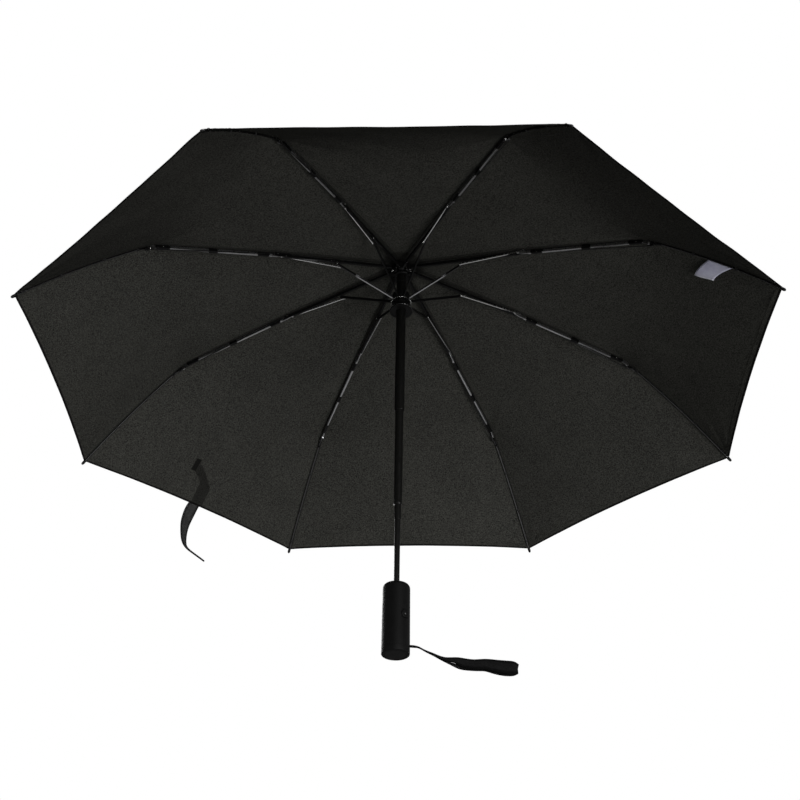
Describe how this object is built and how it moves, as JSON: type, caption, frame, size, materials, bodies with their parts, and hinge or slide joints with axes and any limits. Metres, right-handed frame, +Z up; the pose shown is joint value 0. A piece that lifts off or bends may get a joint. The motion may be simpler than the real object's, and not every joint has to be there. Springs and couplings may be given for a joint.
{
  "type": "folding umbrella",
  "caption": "Three-fold automatic umbrella, open, with pivoted rib arms, sliding runner, telescoping shaft, push button and straps.",
  "frame": {"origin": "centre of the flat end of the handle", "axes": "+Z up the shaft towards the crown; +X towards the side the wrist strap leaves; ribs at 22.5 degrees and every 45 degrees after it"},
  "size_m": [0.9324, 0.9324, 0.6248],
  "materials": {
    "soft_touch_black": "matte soft-touch",
    "button_black": "satin",
    "black_nylon": "satin moulded",
    "painted_black_steel": "satin black",
    "bright_rod_steel": "bright drawn",
    "rib_alloy": "satin",
    "spring_steel": "oiled",
    "black_spring_wire": "black oxide",
    "outer_rod_black": "glass-filled rod",
    "pongee_black": "plain woven",
    "webbing_black": "woven webbing",
    "tie_tape_black": "plain woven"
  },
  "bodies": {
    "handle": {"handle_shell": "soft_touch_black", "lower_tube": "painted_black_steel"},
    "button": {"push_button": "button_black"},
    "wrist_strap": {"wrist_strap": "webbing_black"},
    "middle_shaft": {"middle_tube": "painted_black_steel"},
    "upper_shaft": {"upper_tube": "painted_black_steel", "crown": "black_nylon", "ferrule_cap": "black_nylon", "canopy": "pongee_black", "main_spring": "spring_steel"},
    "runner": {"runner": "black_nylon"},
    "tie_strap": {"tie_strap": "tie_tape_black"},
    "top_rib_1": {"top_rib_1": "painted_black_steel"},
    "stretcher_1": {"stretcher_1": "rib_alloy"},
    "link_rod_1": {"link_rod_1": "bright_rod_steel"},
    "middle_rib_1": {"middle_rib_1": "rib_alloy"},
    "spring_rod_1": {"spring_rod_1": "black_spring_wire"},
    "outer_rib_1": {"outer_rib_1": "outer_rod_black"},
    "top_rib_2": {"top_rib_2": "painted_black_steel"},
    "stretcher_2": {"stretcher_2": "rib_alloy"},
    "link_rod_2": {"link_rod_2": "bright_rod_steel"},
    "middle_rib_2": {"middle_rib_2": "rib_alloy"},
    "spring_rod_2": {"spring_rod_2": "black_spring_wire"},
    "outer_rib_2": {"outer_rib_2": "outer_rod_black"},
    "top_rib_3": {"top_rib_3": "painted_black_steel"},
    "stretcher_3": {"stretcher_3": "rib_alloy"},
    "link_rod_3": {"link_rod_3": "bright_rod_steel"},
    "middle_rib_3": {"middle_rib_3": "rib_alloy"},
    "spring_rod_3": {"spring_rod_3": "black_spring_wire"},
    "outer_rib_3": {"outer_rib_3": "outer_rod_black"},
    "top_rib_4": {"top_rib_4": "painted_black_steel"},
    "stretcher_4": {"stretcher_4": "rib_alloy"},
    "link_rod_4": {"link_rod_4": "bright_rod_steel"},
    "middle_rib_4": {"middle_rib_4": "rib_alloy"},
    "spring_rod_4": {"spring_rod_4": "black_spring_wire"},
    "outer_rib_4": {"outer_rib_4": "outer_rod_black"},
    "top_rib_5": {"top_rib_5": "painted_black_steel"},
    "stretcher_5": {"stretcher_5": "rib_alloy"},
    "link_rod_5": {"link_rod_5": "bright_rod_steel"},
    "middle_rib_5": {"middle_rib_5": "rib_alloy"},
    "spring_rod_5": {"spring_rod_5": "black_spring_wire"},
    "outer_rib_5": {"outer_rib_5": "outer_rod_black"},
    "top_rib_6": {"top_rib_6": "painted_black_steel"},
    "stretcher_6": {"stretcher_6": "rib_alloy"},
    "link_rod_6": {"link_rod_6": "bright_rod_steel"},
    "middle_rib_6": {"middle_rib_6": "rib_alloy"},
    "spring_rod_6": {"spring_rod_6": "black_spring_wire"},
    "outer_rib_6": {"outer_rib_6": "outer_rod_black"},
    "top_rib_7": {"top_rib_7": "painted_black_steel"},
    "stretcher_7": {"stretcher_7": "rib_alloy"},
    "link_rod_7": {"link_rod_7": "bright_rod_steel"},
    "middle_rib_7": {"middle_rib_7": "rib_alloy"},
    "spring_rod_7": {"spring_rod_7": "black_spring_wire"},
    "outer_rib_7": {"outer_rib_7": "outer_rod_black"},
    "top_rib_8": {"top_rib_8": "painted_black_steel"},
    "stretcher_8": {"stretcher_8": "rib_alloy"},
    "link_rod_8": {"link_rod_8": "bright_rod_steel"},
    "middle_rib_8": {"middle_rib_8": "rib_alloy"},
    "spring_rod_8": {"spring_rod_8": "black_spring_wire"},
    "outer_rib_8": {"outer_rib_8": "outer_rod_black"}
  },
  "joints": [
    {"name": "shaft_collapse", "type": "slide", "parent": "handle", "child": "middle_shaft", "axis": [0, 0, -1], "range_m": [0, 0.14], "stiffness_N_per_m": 150, "springref_m": -0.25},
    {"name": "upper_shaft_slide", "type": "slide", "parent": "middle_shaft", "child": "upper_shaft", "axis": [0, 0, -1], "range_m": [0, 0.14], "deforming": ["main_spring"]},
    {"name": "button_press", "type": "slide", "parent": "handle", "child": "button", "axis": [-0.6691, 0.7431, 0], "range_m": [0, 0.0025], "stiffness_N_per_m": 400, "springref_m": -0.002},
    {"name": "wrist_strap_swing", "type": "hinge", "parent": "handle", "child": "wrist_strap", "pos_m": [0.0186, 0, 0.0112], "axis": [0, 1, 0], "range_deg": [-60, 60]},
    {"name": "canopy_fold", "type": "hinge", "parent": "upper_shaft", "child": "top_rib_1", "pos_m": [0.01016, 0.00421, 0.578], "axis": [-0.3827, 0.9239, 0], "range_deg": [0, 79.5], "stiffness_Nm_per_rad": 2, "springref_deg": -45.84, "deforming": ["canopy"]},
    {"name": "stretcher_1_hinge", "type": "hinge", "parent": "top_rib_1", "child": "stretcher_1", "pos_m": [0.08829, 0.03657, 0.56233], "axis": [0.3827, -0.9239, 0], "range_deg": [0, 146.85]},
    {"name": "link_rod_1_hinge", "type": "hinge", "parent": "stretcher_1", "child": "link_rod_1", "pos_m": [0.08232, 0.0341, 0.55963], "axis": [-0.3827, 0.9239, 0], "range_deg": [0, 146.85]},
    {"name": "middle_rib_1_hinge", "type": "hinge", "parent": "top_rib_1", "child": "middle_rib_1", "pos_m": [0.1657, 0.06864, 0.55351], "axis": [0.3827, -0.9239, 0], "range_deg": [0, 182]},
    {"name": "spring_rod_1_hinge", "type": "hinge", "parent": "top_rib_1", "child": "spring_rod_1", "pos_m": [0.17047, 0.07061, 0.55047], "axis": [0.3827, -0.9239, 0], "range_deg": [0, 182]},
    {"name": "outer_rib_1_hinge", "type": "hinge", "parent": "middle_rib_1", "child": "outer_rib_1", "pos_m": [0.32235, 0.13352, 0.50977], "axis": [-0.3827, 0.9239, 0], "range_deg": [0, 153]},
    {"name": "top_rib_2_hinge", "type": "hinge", "parent": "upper_shaft", "child": "top_rib_2", "pos_m": [0.00421, 0.01016, 0.578], "axis": [-0.9239, 0.3827, 0], "range_deg": [0, 79.5]},
    {"name": "stretcher_2_hinge", "type": "hinge", "parent": "top_rib_2", "child": "stretcher_2", "pos_m": [0.03657, 0.08829, 0.56233], "axis": [0.9239, -0.3827, 0], "range_deg": [0, 146.85]},
    {"name": "link_rod_2_hinge", "type": "hinge", "parent": "stretcher_2", "child": "link_rod_2", "pos_m": [0.0341, 0.08232, 0.55963], "axis": [-0.9239, 0.3827, 0], "range_deg": [0, 146.85]},
    {"name": "middle_rib_2_hinge", "type": "hinge", "parent": "top_rib_2", "child": "middle_rib_2", "pos_m": [0.06864, 0.1657, 0.55351], "axis": [0.9239, -0.3827, 0], "range_deg": [0, 182]},
    {"name": "spring_rod_2_hinge", "type": "hinge", "parent": "top_rib_2", "child": "spring_rod_2", "pos_m": [0.07061, 0.17047, 0.55047], "axis": [0.9239, -0.3827, 0], "range_deg": [0, 182]},
    {"name": "outer_rib_2_hinge", "type": "hinge", "parent": "middle_rib_2", "child": "outer_rib_2", "pos_m": [0.13352, 0.32235, 0.50977], "axis": [-0.9239, 0.3827, 0], "range_deg": [0, 153]},
    {"name": "top_rib_3_hinge", "type": "hinge", "parent": "upper_shaft", "child": "top_rib_3", "pos_m": [-0.00421, 0.01016, 0.578], "axis": [-0.9239, -0.3827, 0], "range_deg": [0, 79.5]},
    {"name": "stretcher_3_hinge", "type": "hinge", "parent": "top_rib_3", "child": "stretcher_3", "pos_m": [-0.03657, 0.08829, 0.56233], "axis": [0.9239, 0.3827, 0], "range_deg": [0, 146.85]},
    {"name": "link_rod_3_hinge", "type": "hinge", "parent": "stretcher_3", "child": "link_rod_3", "pos_m": [-0.0341, 0.08232, 0.55963], "axis": [-0.9239, -0.3827, 0], "range_deg": [0, 146.85]},
    {"name": "middle_rib_3_hinge", "type": "hinge", "parent": "top_rib_3", "child": "middle_rib_3", "pos_m": [-0.06864, 0.1657, 0.55351], "axis": [0.9239, 0.3827, 0], "range_deg": [0, 182]},
    {"name": "spring_rod_3_hinge", "type": "hinge", "parent": "top_rib_3", "child": "spring_rod_3", "pos_m": [-0.07061, 0.17047, 0.55047], "axis": [0.9239, 0.3827, 0], "range_deg": [0, 182]},
    {"name": "outer_rib_3_hinge", "type": "hinge", "parent": "middle_rib_3", "child": "outer_rib_3", "pos_m": [-0.13352, 0.32235, 0.50977], "axis": [-0.9239, -0.3827, 0], "range_deg": [0, 153]},
    {"name": "top_rib_4_hinge", "type": "hinge", "parent": "upper_shaft", "child": "top_rib_4", "pos_m": [-0.01016, 0.00421, 0.578], "axis": [-0.3827, -0.9239, 0], "range_deg": [0, 79.5]},
    {"name": "stretcher_4_hinge", "type": "hinge", "parent": "top_rib_4", "child": "stretcher_4", "pos_m": [-0.08829, 0.03657, 0.56233], "axis": [0.3827, 0.9239, 0], "range_deg": [0, 146.85]},
    {"name": "link_rod_4_hinge", "type": "hinge", "parent": "stretcher_4", "child": "link_rod_4", "pos_m": [-0.08232, 0.0341, 0.55963], "axis": [-0.3827, -0.9239, 0], "range_deg": [0, 146.85]},
    {"name": "middle_rib_4_hinge", "type": "hinge", "parent": "top_rib_4", "child": "middle_rib_4", "pos_m": [-0.1657, 0.06864, 0.55351], "axis": [0.3827, 0.9239, 0], "range_deg": [0, 182]},
    {"name": "spring_rod_4_hinge", "type": "hinge", "parent": "top_rib_4", "child": "spring_rod_4", "pos_m": [-0.17047, 0.07061, 0.55047], "axis": [0.3827, 0.9239, 0], "range_deg": [0, 182]},
    {"name": "outer_rib_4_hinge", "type": "hinge", "parent": "middle_rib_4", "child": "outer_rib_4", "pos_m": [-0.32235, 0.13352, 0.50977], "axis": [-0.3827, -0.9239, 0], "range_deg": [0, 153]},
    {"name": "top_rib_5_hinge", "type": "hinge", "parent": "upper_shaft", "child": "top_rib_5", "pos_m": [-0.01016, -0.00421, 0.578], "axis": [0.3827, -0.9239, 0], "range_deg": [0, 79.5]},
    {"name": "stretcher_5_hinge", "type": "hinge", "parent": "top_rib_5", "child": "stretcher_5", "pos_m": [-0.08829, -0.03657, 0.56233], "axis": [-0.3827, 0.9239, 0], "range_deg": [0, 146.85]},
    {"name": "link_rod_5_hinge", "type": "hinge", "parent": "stretcher_5", "child": "link_rod_5", "pos_m": [-0.08232, -0.0341, 0.55963], "axis": [0.3827, -0.9239, 0], "range_deg": [0, 146.85]},
    {"name": "middle_rib_5_hinge", "type": "hinge", "parent": "top_rib_5", "child": "middle_rib_5", "pos_m": [-0.1657, -0.06864, 0.55351], "axis": [-0.3827, 0.9239, 0], "range_deg": [0, 182]},
    {"name": "spring_rod_5_hinge", "type": "hinge", "parent": "top_rib_5", "child": "spring_rod_5", "pos_m": [-0.17047, -0.07061, 0.55047], "axis": [-0.3827, 0.9239, 0], "range_deg": [0, 182]},
    {"name": "outer_rib_5_hinge", "type": "hinge", "parent": "middle_rib_5", "child": "outer_rib_5", "pos_m": [-0.32235, -0.13352, 0.50977], "axis": [0.3827, -0.9239, 0], "range_deg": [0, 153]},
    {"name": "top_rib_6_hinge", "type": "hinge", "parent": "upper_shaft", "child": "top_rib_6", "pos_m": [-0.00421, -0.01016, 0.578], "axis": [0.9239, -0.3827, 0], "range_deg": [0, 79.5]},
    {"name": "stretcher_6_hinge", "type": "hinge", "parent": "top_rib_6", "child": "stretcher_6", "pos_m": [-0.03657, -0.08829, 0.56233], "axis": [-0.9239, 0.3827, 0], "range_deg": [0, 146.85]},
    {"name": "link_rod_6_hinge", "type": "hinge", "parent": "stretcher_6", "child": "link_rod_6", "pos_m": [-0.0341, -0.08232, 0.55963], "axis": [0.9239, -0.3827, 0], "range_deg": [0, 146.85]},
    {"name": "middle_rib_6_hinge", "type": "hinge", "parent": "top_rib_6", "child": "middle_rib_6", "pos_m": [-0.06864, -0.1657, 0.55351], "axis": [-0.9239, 0.3827, 0], "range_deg": [0, 182]},
    {"name": "spring_rod_6_hinge", "type": "hinge", "parent": "top_rib_6", "child": "spring_rod_6", "pos_m": [-0.07061, -0.17047, 0.55047], "axis": [-0.9239, 0.3827, 0], "range_deg": [0, 182]},
    {"name": "outer_rib_6_hinge", "type": "hinge", "parent": "middle_rib_6", "child": "outer_rib_6", "pos_m": [-0.13352, -0.32235, 0.50977], "axis": [0.9239, -0.3827, 0], "range_deg": [0, 153]},
    {"name": "top_rib_7_hinge", "type": "hinge", "parent": "upper_shaft", "child": "top_rib_7", "pos_m": [0.00421, -0.01016, 0.578], "axis": [0.9239, 0.3827, 0], "range_deg": [0, 79.5]},
    {"name": "stretcher_7_hinge", "type": "hinge", "parent": "top_rib_7", "child": "stretcher_7", "pos_m": [0.03657, -0.08829, 0.56233], "axis": [-0.9239, -0.3827, 0], "range_deg": [0, 146.85]},
    {"name": "link_rod_7_hinge", "type": "hinge", "parent": "stretcher_7", "child": "link_rod_7", "pos_m": [0.0341, -0.08232, 0.55963], "axis": [0.9239, 0.3827, 0], "range_deg": [0, 146.85]},
    {"name": "middle_rib_7_hinge", "type": "hinge", "parent": "top_rib_7", "child": "middle_rib_7", "pos_m": [0.06864, -0.1657, 0.55351], "axis": [-0.9239, -0.3827, 0], "range_deg": [0, 182]},
    {"name": "spring_rod_7_hinge", "type": "hinge", "parent": "top_rib_7", "child": "spring_rod_7", "pos_m": [0.07061, -0.17047, 0.55047], "axis": [-0.9239, -0.3827, 0], "range_deg": [0, 182]},
    {"name": "outer_rib_7_hinge", "type": "hinge", "parent": "middle_rib_7", "child": "outer_rib_7", "pos_m": [0.13352, -0.32235, 0.50977], "axis": [0.9239, 0.3827, 0], "range_deg": [0, 153]},
    {"name": "top_rib_8_hinge", "type": "hinge", "parent": "upper_shaft", "child": "top_rib_8", "pos_m": [0.01016, -0.00421, 0.578], "axis": [0.3827, 0.9239, 0], "range_deg": [0, 79.5]},
    {"name": "stretcher_8_hinge", "type": "hinge", "parent": "top_rib_8", "child": "stretcher_8", "pos_m": [0.08829, -0.03657, 0.56233], "axis": [-0.3827, -0.9239, 0], "range_deg": [0, 146.85]},
    {"name": "link_rod_8_hinge", "type": "hinge", "parent": "stretcher_8", "child": "link_rod_8", "pos_m": [0.08232, -0.0341, 0.55963], "axis": [0.3827, 0.9239, 0], "range_deg": [0, 146.85]},
    {"name": "middle_rib_8_hinge", "type": "hinge", "parent": "top_rib_8", "child": "middle_rib_8", "pos_m": [0.1657, -0.06864, 0.55351], "axis": [-0.3827, -0.9239, 0], "range_deg": [0, 182]},
    {"name": "spring_rod_8_hinge", "type": "hinge", "parent": "top_rib_8", "child": "spring_rod_8", "pos_m": [0.17047, -0.07061, 0.55047], "axis": [-0.3827, -0.9239, 0], "range_deg": [0, 182]},
    {"name": "outer_rib_8_hinge", "type": "hinge", "parent": "middle_rib_8", "child": "outer_rib_8", "pos_m": [0.32235, -0.13352, 0.50977], "axis": [0.3827, 0.9239, 0], "range_deg": [0, 153]},
    {"name": "runner_slide", "type": "slide", "parent": "upper_shaft", "child": "runner", "axis": [0, 0, -1], "range_m": [0, 0.12665]},
    {"name": "tie_strap_gather", "type": "slide", "parent": "upper_shaft", "child": "tie_strap", "axis": [0.7071, -0.7071, 0.0104], "range_m": [0, 0.38603]}
  ],
  "couplings": [
    {"joint": "upper_shaft_slide", "follows": "shaft_collapse", "ratio": 1},
    {"joint": "stretcher_1_hinge", "follows": "canopy_fold", "ratio": 1.8472},
    {"joint": "link_rod_1_hinge", "follows": "canopy_fold", "ratio": 1.8472},
    {"joint": "middle_rib_1_hinge", "follows": "canopy_fold", "ratio": 2.2893},
    {"joint": "spring_rod_1_hinge", "follows": "canopy_fold", "ratio": 2.2893},
    {"joint": "outer_rib_1_hinge", "follows": "canopy_fold", "ratio": 1.9245},
    {"joint": "top_rib_2_hinge", "follows": "canopy_fold", "ratio": 1},
    {"joint": "stretcher_2_hinge", "follows": "canopy_fold", "ratio": 1.8472},
    {"joint": "link_rod_2_hinge", "follows": "canopy_fold", "ratio": 1.8472},
    {"joint": "middle_rib_2_hinge", "follows": "canopy_fold", "ratio": 2.2893},
    {"joint": "spring_rod_2_hinge", "follows": "canopy_fold", "ratio": 2.2893},
    {"joint": "outer_rib_2_hinge", "follows": "canopy_fold", "ratio": 1.9245},
    {"joint": "top_rib_3_hinge", "follows": "canopy_fold", "ratio": 1},
    {"joint": "stretcher_3_hinge", "follows": "canopy_fold", "ratio": 1.8472},
    {"joint": "link_rod_3_hinge", "follows": "canopy_fold", "ratio": 1.8472},
    {"joint": "middle_rib_3_hinge", "follows": "canopy_fold", "ratio": 2.2893},
    {"joint": "spring_rod_3_hinge", "follows": "canopy_fold", "ratio": 2.2893},
    {"joint": "outer_rib_3_hinge", "follows": "canopy_fold", "ratio": 1.9245},
    {"joint": "top_rib_4_hinge", "follows": "canopy_fold", "ratio": 1},
    {"joint": "stretcher_4_hinge", "follows": "canopy_fold", "ratio": 1.8472},
    {"joint": "link_rod_4_hinge", "follows": "canopy_fold", "ratio": 1.8472},
    {"joint": "middle_rib_4_hinge", "follows": "canopy_fold", "ratio": 2.2893},
    {"joint": "spring_rod_4_hinge", "follows": "canopy_fold", "ratio": 2.2893},
    {"joint": "outer_rib_4_hinge", "follows": "canopy_fold", "ratio": 1.9245},
    {"joint": "top_rib_5_hinge", "follows": "canopy_fold", "ratio": 1},
    {"joint": "stretcher_5_hinge", "follows": "canopy_fold", "ratio": 1.8472},
    {"joint": "link_rod_5_hinge", "follows": "canopy_fold", "ratio": 1.8472},
    {"joint": "middle_rib_5_hinge", "follows": "canopy_fold", "ratio": 2.2893},
    {"joint": "spring_rod_5_hinge", "follows": "canopy_fold", "ratio": 2.2893},
    {"joint": "outer_rib_5_hinge", "follows": "canopy_fold", "ratio": 1.9245},
    {"joint": "top_rib_6_hinge", "follows": "canopy_fold", "ratio": 1},
    {"joint": "stretcher_6_hinge", "follows": "canopy_fold", "ratio": 1.8472},
    {"joint": "link_rod_6_hinge", "follows": "canopy_fold", "ratio": 1.8472},
    {"joint": "middle_rib_6_hinge", "follows": "canopy_fold", "ratio": 2.2893},
    {"joint": "spring_rod_6_hinge", "follows": "canopy_fold", "ratio": 2.2893},
    {"joint": "outer_rib_6_hinge", "follows": "canopy_fold", "ratio": 1.9245},
    {"joint": "top_rib_7_hinge", "follows": "canopy_fold", "ratio": 1},
    {"joint": "stretcher_7_hinge", "follows": "canopy_fold", "ratio": 1.8472},
    {"joint": "link_rod_7_hinge", "follows": "canopy_fold", "ratio": 1.8472},
    {"joint": "middle_rib_7_hinge", "follows": "canopy_fold", "ratio": 2.2893},
    {"joint": "spring_rod_7_hinge", "follows": "canopy_fold", "ratio": 2.2893},
    {"joint": "outer_rib_7_hinge", "follows": "canopy_fold", "ratio": 1.9245},
    {"joint": "top_rib_8_hinge", "follows": "canopy_fold", "ratio": 1},
    {"joint": "stretcher_8_hinge", "follows": "canopy_fold", "ratio": 1.8472},
    {"joint": "link_rod_8_hinge", "follows": "canopy_fold", "ratio": 1.8472},
    {"joint": "middle_rib_8_hinge", "follows": "canopy_fold", "ratio": 2.2893},
    {"joint": "spring_rod_8_hinge", "follows": "canopy_fold", "ratio": 2.2893},
    {"joint": "outer_rib_8_hinge", "follows": "canopy_fold", "ratio": 1.9245},
    {"joint": "runner_slide", "follows": "canopy_fold", "m_per_rad": 0.091272},
    {"joint": "tie_strap_gather", "follows": "canopy_fold", "m_per_rad": 0.27821}
  ]
}
